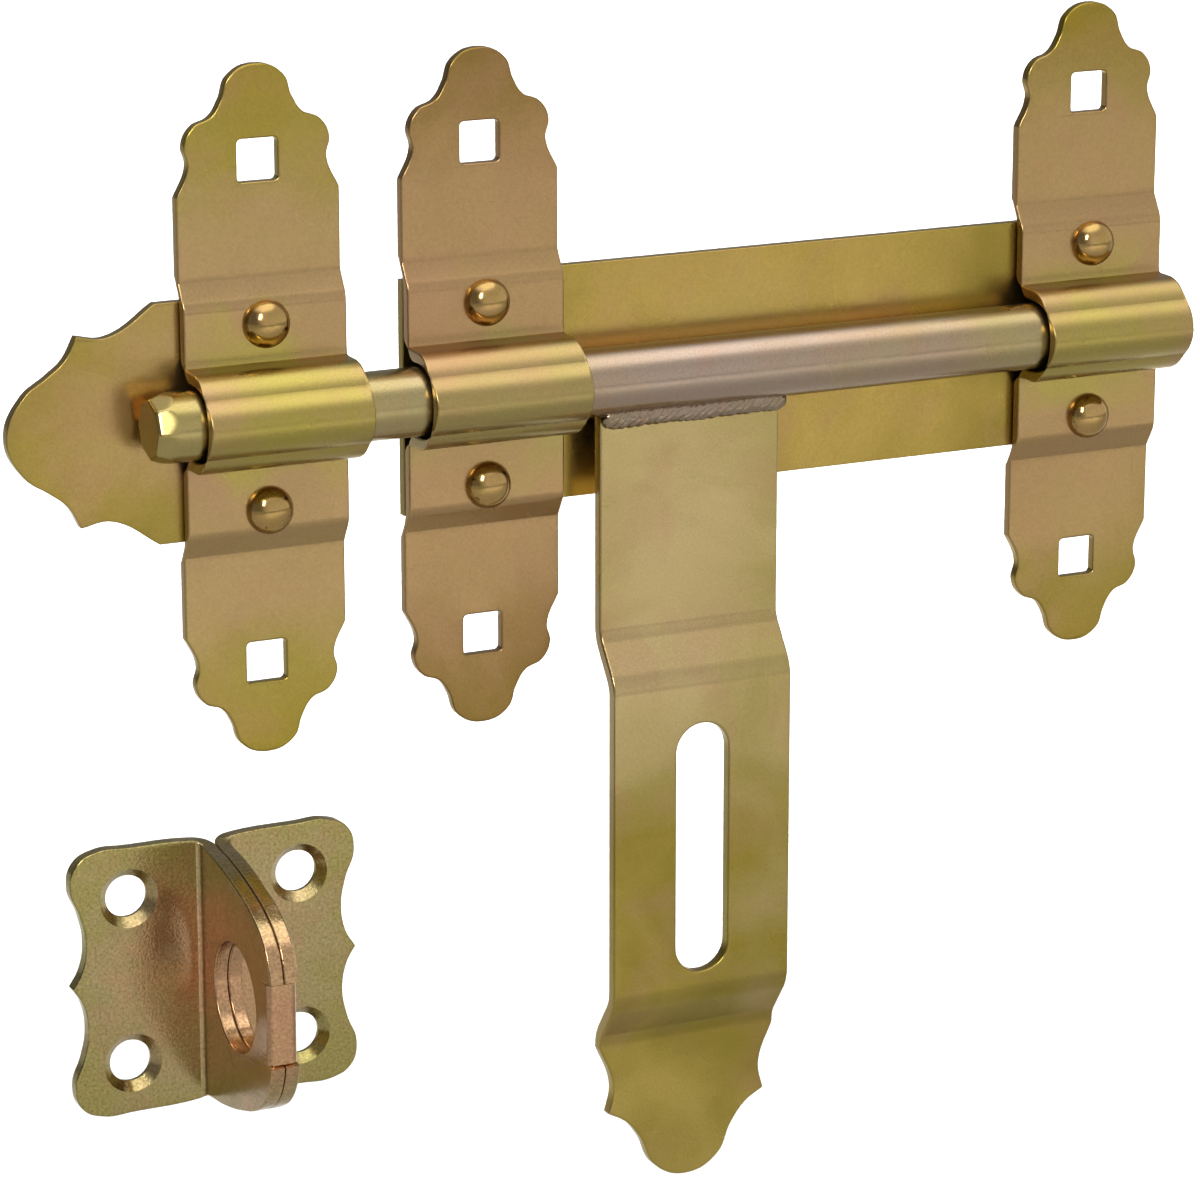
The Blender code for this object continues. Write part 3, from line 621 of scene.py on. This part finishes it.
def weld_tree():
    """Geometry nodes: a bead along a line, with slanted ripples and a little wander."""
    tree = bpy.data.node_groups.new("weld_bead", "GeometryNodeTree")
    sockets = tree.interface
    sockets.new_socket("Line", in_out="INPUT", socket_type="NodeSocketGeometry")
    for name, value in (("Length", 42 * MM), ("Radius", 2.3 * MM), ("Ripple Pitch", 1.9 * MM),
                        ("Ripple Height", 0.42 * MM), ("Wander", 0.9 * MM), ("Flatness", 0.80)):
        sockets.new_socket(name, in_out="INPUT",
                           socket_type="NodeSocketFloat").default_value = value
    sockets.new_socket("Finish", in_out="INPUT", socket_type="NodeSocketMaterial")
    sockets.new_socket("Bead", in_out="OUTPUT", socket_type="NodeSocketGeometry")

    def maths(operation, *values):
        """The result of one sum on sockets or numbers."""
        slots = {f"i{place}": value for place, value in enumerate(values)}
        return add_node(tree, "ShaderNodeMath", {"operation": operation}, **slots).outputs[0]

    given = add_node(tree, "NodeGroupInput").outputs
    end = add_node(tree, "ShaderNodeCombineXYZ", None, X=given["Length"]).outputs["Vector"]
    line = add_node(tree, "GeometryNodeCurvePrimitiveLine", None, End=end).outputs["Curve"]
    fine = add_node(tree, "GeometryNodeResampleCurve", None, Curve=line, Count=420)
    share = add_node(tree, "GeometryNodeSplineParameter").outputs["Factor"]

    def size_at(share):
        """The bead's relative size along its run: full at its start, tapered at both ends."""
        off_middle = maths("ABSOLUTE", maths("MULTIPLY_ADD", share, 2.0, -1.0))
        taper = maths("SQRT", maths("SUBTRACT", 1.0, maths("POWER", off_middle, 16.0)))
        start = maths("POWER", maths("SUBTRACT", 1.0, share), 6.0)
        return maths("MULTIPLY", taper, maths("MULTIPLY_ADD", start, 0.18, 0.90))

    circle = add_node(tree, "GeometryNodeCurvePrimitiveCircle", None, Resolution=72,
                      Radius=given["Radius"]).outputs["Curve"]
    bead = add_node(tree, "GeometryNodeCurveToMesh", None, Curve=fine.outputs["Curve"],
                    Profile_Curve=circle, Fill_Caps=True, Scale=size_at(share)).outputs["Mesh"]
    place = add_node(tree, "GeometryNodeInputPosition").outputs["Position"]
    parts = add_node(tree, "ShaderNodeSeparateXYZ", None, Vector=place).outputs
    size = size_at(maths("DIVIDE", parts["X"], given["Length"]))
    uneven = add_node(tree, "ShaderNodeTexNoise", None, Vector=place, Detail=2.0,
                      Scale=1 / (4 * MM)).outputs["Fac"]
    slanted = maths("MULTIPLY_ADD", parts["Z"], -1.1, parts["X"])
    slipped = maths("MULTIPLY_ADD", uneven, 4.0 * MM, slanted)
    saw = maths("FRACT", maths("DIVIDE", slipped, given["Ripple Pitch"]))
    crest = maths("MULTIPLY", saw, maths("SUBTRACT", 1.0, maths("POWER", saw, 8.0)))
    lift = maths("MULTIPLY", maths("MULTIPLY", crest, given["Ripple Height"]), size)
    wander = maths("MULTIPLY", maths("SUBTRACT", uneven, 0.5), given["Wander"])
    outward = add_node(tree, "GeometryNodeInputNormal").outputs["Normal"]
    push = add_node(tree, "ShaderNodeVectorMath", {"operation": "SCALE"}, i0=outward,
                    Scale=maths("MULTIPLY_ADD", wander, size, lift)).outputs["Vector"]
    rippled = add_node(tree, "GeometryNodeSetPosition", None, Geometry=bead,
                       Offset=push).outputs["Geometry"]
    pressed = add_node(tree, "ShaderNodeCombineXYZ", None, X=parts["X"], Z=parts["Z"],
                       Y=maths("MULTIPLY", parts["Y"], given["Flatness"])).outputs["Vector"]
    flat = add_node(tree, "GeometryNodeSetPosition", None, Geometry=rippled,
                    Position=pressed).outputs["Geometry"]
    real = add_node(tree, "GeometryNodeRealizeInstances", None, Geometry=flat)
    smooth = add_node(tree, "GeometryNodeSetShadeSmooth", None,
                      Geometry=real.outputs["Geometry"]).outputs["Geometry"]
    done = add_node(tree, "GeometryNodeSetMaterial", None, Geometry=smooth,
                    Material=given["Finish"])
    add_node(tree, "NodeGroupOutput", None, Bead=done.outputs["Geometry"])
    return tree


weld_low, weld_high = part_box("weld_bead")
weld_skin = passivated_zinc("plated_weld_metal", (weld_low.x + 0.02, 0, 0), (0.05, 1, 1),
                            ((0.0, "#948371"), (0.5, "#8f8068"), (1.0, "#877c54")),
                            roughness=0.17, drift=4, grain=0.5)
weld_length = weld_high.x - weld_low.x
weld = grow("weld", [(0, 0, 0)], weld_tree(), {"Length": weld_length, "Finish": weld_skin})
weld_y = bar_y - hasp_sheet / 2 - 0.2 * MM
weld_z = hasp_high.z
bmesh.ops.translate(weld, verts=weld.verts, vec=(weld_low.x, weld_y, weld_z))
finish_piece("weld_bead_finished", weld, weld_skin, "hasp", ["weld_bead"])


# --- Padlock staple ---------------------------------------------------------------------
# One 3 mm sheet folded on itself: two scalloped wings with countersunk screw holes, and a
# doubled fin with the padlock's eye. Its bath left it redder, and tumbling left it glossier.

staple_low, staple_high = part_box("padlock_staple")
staple_x = (staple_low.x + staple_high.x) / 2
staple_z = (staple_low.z + staple_high.z) / 2
staple_sheet = 3.0 * MM
staple_half_width = 30.9 * MM
staple_half_height = 28.25 * MM
leaf_offset = 0.04 * MM + staple_sheet / 2       # middle of a leaf from the fin's middle
fold_bend = 1.0 * MM + staple_sheet / 2
fin_front = -staple_low.y
fin_reach = fin_front - staple_sheet
fold_inset = 0.8 * MM
fold_half = 8.5 * MM
eye_radius, eye_reach = 11.25 * MM, 17.8 * MM
screw_radius, sink_radius, sink_depth = 4.4 * MM, 6.2 * MM, 1.8 * MM
screw_x, screw_z = 18.4 * MM, 17.6 * MM
leaf_edge = 0.40 * MM
bend_cuts = 15
foot_x = leaf_offset + fold_bend                 # where the wing ends and the bend begins
bend_length = fold_bend * math.pi / 2
leaf_start = staple_sheet / 2 + fold_bend        # how far forward the leaf begins
fold_start = fin_front - fold_inset - leaf_offset - staple_sheet / 2
# (share of the half width, share of the half height, kind), up a wing's outer side
WING_SIDE = [(0.995, 0.00, "sharp"), (0.93, 0.12, "smooth"), (0.897, 0.33, "smooth"),
             (0.93, 0.53, "smooth"), (0.995, 0.74, "smooth"), (0.95, 0.92, "smooth"),
             (0.80, 1.00, "smooth"), (0.60, 1.00, "sharp")]
# (share of the fin's reach, share of the half height, kind), from its foot to its shoulder
FIN_EDGE = [(0.04, 0.950, "smooth"), (0.27, 0.912, "smooth"), (0.54, 0.828, "smooth"),
            (0.76, 0.722, "smooth"), (0.90, 0.590, "smooth"), (0.975, 0.430, "smooth"),
            (1.00, 0.310, "sharp")]


def leaf_place(forward):
    """Distance along the blank, from the wing's end, of a place that far off the door."""
    return bend_length + forward - leaf_start


def wing_and_leaf(way):
    """One wing and its leaf of the fin, bent at the foot; way is -1 left and 1 right."""
    wing = [(foot_x - share * staple_half_width, level * staple_half_height, kind)
            for share, level, kind in WING_SIDE]
    fin = [(leaf_place(staple_sheet + share * fin_reach), level * staple_half_height, kind)
           for share, level, kind in FIN_EDGE]
    notch = [(leaf_place(fin_front) - fold_inset, fold_half, "sharp"),
             (leaf_place(fold_start), fold_half - 0.3 * MM, "sharp")]
    upper = wing + [(-0.5 * MM, 0.985 * staple_half_height, "smooth")] + fin + notch
    lower = [(along, -level, kind) for along, level, kind in reversed(upper) if level]
    screws = [(foot_x - screw_x, level) for level in (screw_z, -screw_z)]
    holes = [ring(along, level, sink_radius - leaf_edge) for along, level in screws]
    holes.append(ring(leaf_place(staple_sheet + eye_reach), 0, eye_radius, 72))
    shape = blank(upper + lower, holes, staple_sheet, leaf_edge)
    for along, level in screws:
        countersink(shape, along, level)
    score(shape, [bend_length * step / bend_cuts for step in range(bend_cuts + 1)], axis=0)
    for vert in shape.verts:
        along, level, out = vert.co
        x, forward = -foot_x + min(along, 0), staple_sheet / 2
        turn = min(max(along, 0), bend_length) / fold_bend
        x += fold_bend * math.sin(turn)
        forward += fold_bend * (1 - math.cos(turn)) + max(0, along - bend_length)
        x -= out * math.sin(turn)
        forward += out * math.cos(turn)
        vert.co = (staple_x - way * x, -forward, staple_z + level)
    return shape


def countersink(shape, along, level):
    """Draw the walls of a wide hole in to the screw's hole, with a cone at the front."""
    top = staple_sheet / 2
    for vert in shape.verts:
        offset = Vector((vert.co.x - along, vert.co.y - level))
        if offset.length > sink_radius + 0.1 * MM:
            continue
        share = (top - vert.co.z) / leaf_edge
        if share < 1.001:
            radius = sink_radius + (screw_radius - sink_radius) * share
            height = top - sink_depth * share
        else:
            radius = offset.length - (sink_radius - leaf_edge - screw_radius)
            height = min(vert.co.z, top - sink_depth)
        offset *= radius / offset.length
        vert.co = (along + offset.x, level + offset.y, height)


def hem():
    """The pressed fold that joins the two leaves, a hair proud where it laps on them."""
    lap, proud, corner, edge = 0.6 * MM, 0.02 * MM, 1.5 * MM, 0.3 * MM
    side = leaf_offset + staple_sheet / 2 + proud
    front = fin_front - fold_inset
    right = [(side - corner + corner * math.cos(turn), front - corner + corner * math.sin(turn))
             for turn in (math.pi / 2 * step / 8 for step in range(9))]
    section = [(side, fold_start - lap)] + right
    section += [(-x, forward) for x, forward in reversed(section)]
    shape = blank([(x, forward, "sharp") for x, forward in section], [], 2 * fold_half, edge)
    for vert in shape.verts:
        x, forward, level = vert.co
        vert.co = (staple_x + x, -forward, staple_z + level)
    return shape


staple = wing_and_leaf(-1)
for extra in (wing_and_leaf(1), hem()):
    joined = bpy.data.meshes.new("joined")
    extra.to_mesh(joined)
    extra.free()
    staple.from_mesh(joined)
    bpy.data.meshes.remove(joined)
staple_skin = passivated_zinc("copper_toned_passivated_zinc_staple", (staple_x, 0, staple_z),
                              (0.034, 1, 0.034), ((0.0, "#b98f6c"), (0.33, "#b4936c"),
                                                  (0.67, "#a69468"), (1.0, "#9d9158")),
                              roughness=0.19, drift=11, grain=0.6, sparkle=0.75,
                              speckled=0.34)
finish_piece("padlock_staple_finished", staple, staple_skin, "mounting", ["padlock_staple"])


# --- Floor, light and camera ------------------------------------------------------------
# A plain floor in pale grey paint, with soft boxes that light it white behind the parts and in
# front of them. The surround is brightest overhead and flagged down behind and to the left.

floor_mesh = bpy.data.meshes.new("floor")
floor_reach, floor_z = 9.0, -0.40
floor_mesh.from_pydata([(-floor_reach, -floor_reach, floor_z), (floor_reach, -floor_reach, floor_z),
                        (floor_reach, floor_reach, floor_z), (-floor_reach, floor_reach, floor_z)],
                       [], [(0, 1, 2, 3)])
floor = bpy.data.objects.new("floor", floor_mesh)
bpy.context.scene.collection.objects.link(floor)
pale = bpy.data.materials.new("pale_grey_floor_paint")
pale.use_nodes = True
paint = pale.node_tree.nodes["Principled BSDF"].inputs
paint["Base Color"].default_value = linear("#b9b9b7")
paint["Roughness"].default_value = 0.9
floor_mesh.materials.append(pale)

world = bpy.data.worlds.new("studio")
bpy.context.scene.world = world
world.use_nodes = True
surround = world.node_tree
toward = add_node(surround, "ShaderNodeTexCoord").outputs["Generated"]
compass = add_node(surround, "ShaderNodeSeparateXYZ", None, Vector=toward).outputs
height = add_node(surround, "ShaderNodeMapRange", None, Value=compass["Z"], From_Min=-1.0,
                  From_Max=1.0)
# (height from straight down to straight up, brightness as a share of the brightest)
BANDS = [(-1.0, 0.05), (-0.80, 0.10), (-0.60, 0.24), (-0.38, 0.38), (-0.12, 0.42), (0.10, 0.40),
         (0.35, 0.38), (0.60, 0.34), (0.76, 0.42), (0.86, 1.00), (1.0, 1.00)]
bands = add_node(surround, "ShaderNodeValToRGB", None, Fac=height.outputs["Result"])
levels = bands.color_ramp
levels.elements.remove(levels.elements[-1])
levels.elements[0].position, levels.elements[0].color = 0, (BANDS[0][1],) * 3 + (1,)
for band_height, level in BANDS[1:]:
    levels.elements.new((band_height + 1) / 2).color = (level,) * 3 + (1,)
back_flag = add_node(surround, "ShaderNodeMapRange", None, Value=compass["Y"], From_Min=0.08,
                     From_Max=0.48, To_Min=2.3, To_Max=0.75)
left_flag = add_node(surround, "ShaderNodeMapRange", None, Value=compass["X"], From_Min=-0.70,
                     From_Max=-0.20, To_Min=0.28, To_Max=1.0)
flags = add_node(surround, "ShaderNodeMath", {"operation": "MULTIPLY"},
                 i0=back_flag.outputs["Result"], i1=left_flag.outputs["Result"])
surround.links.new(bands.outputs["Color"], surround.nodes["Background"].inputs["Color"])
surround.links.new(flags.outputs["Value"], surround.nodes["Background"].inputs["Strength"])


def soft_light(name, place, aim, size, power, spread=180):
    """A large rectangular soft box that faces a point, with a grid that limits its spread."""
    data = bpy.data.lights.new(name, "AREA")
    data.shape = "RECTANGLE"
    data.size, data.size_y = size
    data.energy = power
    data.spread = math.radians(spread)
    lamp = bpy.data.objects.new(name, data)
    bpy.context.scene.collection.objects.link(lamp)
    lamp.location = place
    lamp.rotation_euler = (Vector(aim) - Vector(place)).to_track_quat("-Z", "Y").to_euler()


soft_light("upper_left_box", (-0.75, -1.0, 0.75), (-0.03, 0, -0.03), (0.22, 0.5), 8)
soft_light("behind_box", (1.9, 2.7, 1.0), (1.9, 2.7, -0.4), (4.0, 4.4), 175, spread=60)
soft_light("front_box", (0.6, -1.8, 1.0), (0.6, -1.8, -0.4), (2.6, 1.8), 22, spread=60)

camera_data = bpy.data.cameras.new("camera")
camera_data.sensor_width = 36
camera_data.lens = 141.65
camera = bpy.data.objects.new("camera", camera_data)
bpy.context.scene.collection.objects.link(camera)
camera_place = Vector((-0.4535, -0.8533, 0.2139))
look_at = Vector((-0.0479, -0.0100, -0.0432))
camera.location = camera_place
camera.rotation_euler = (look_at - camera_place).to_track_quat("-Z", "Y").to_euler()
bpy.context.scene.camera = camera
bpy.context.scene.view_settings.view_transform = "Standard"

bpy.context.view_layer.update()
